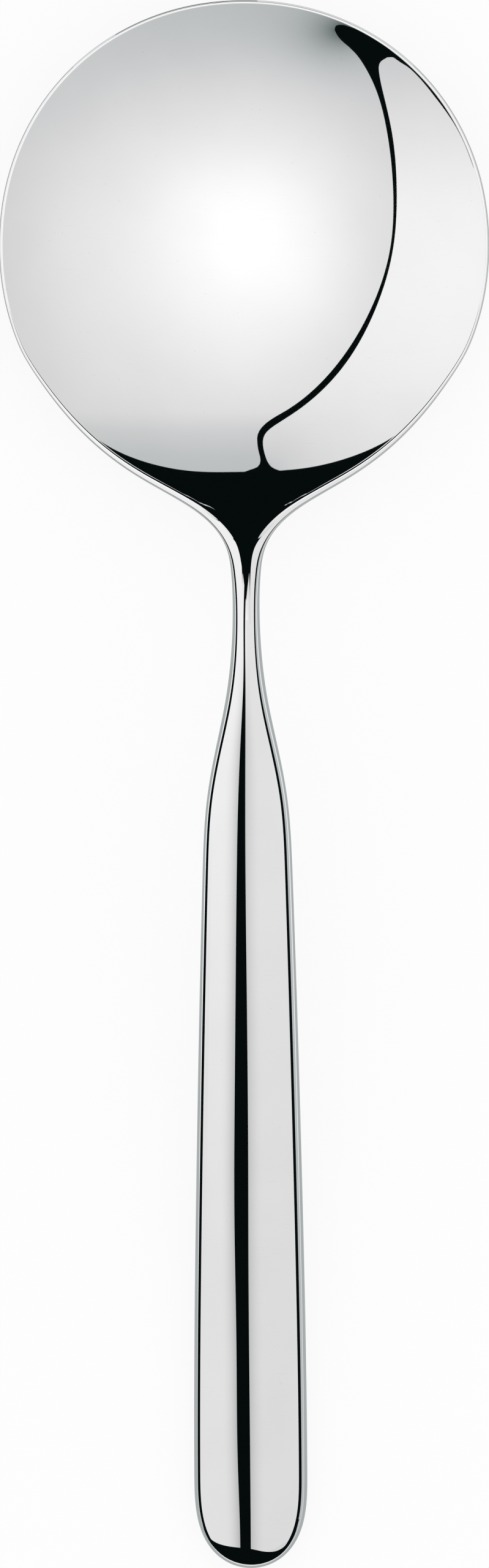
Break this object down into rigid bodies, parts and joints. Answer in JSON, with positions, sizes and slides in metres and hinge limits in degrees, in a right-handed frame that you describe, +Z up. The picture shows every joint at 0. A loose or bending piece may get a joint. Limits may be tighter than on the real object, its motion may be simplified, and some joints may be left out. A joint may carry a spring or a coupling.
{
  "type": "serving spoon",
  "caption": "Serving spoon with a round shallow bowl, a slim arched neck and a broad, crowned hollow handle, mirror polished all over.",
  "frame": {"origin": "on the table the spoon lies on, under the middle of its outline", "axes": "+X to the right seen from above with the bowl away, +Y from the handle to the bowl's tip, +Z up out of the bowl"},
  "size_m": [0.08, 0.256, 0.0207],
  "materials": {
    "polished_steel": "polished",
    "polished_weld": "polished",
    "polished_braze": "polished",
    "setting_compound": "matte"
  },
  "bodies": {
    "root": {"bowl_and_neck": "polished_steel", "handle_front_shell": "polished_steel", "handle_back_shell": "polished_steel", "handle_seam_weld": "polished_weld", "neck_braze_ring": "polished_braze", "tang_filler": "setting_compound"}
  },
  "joints": []
}
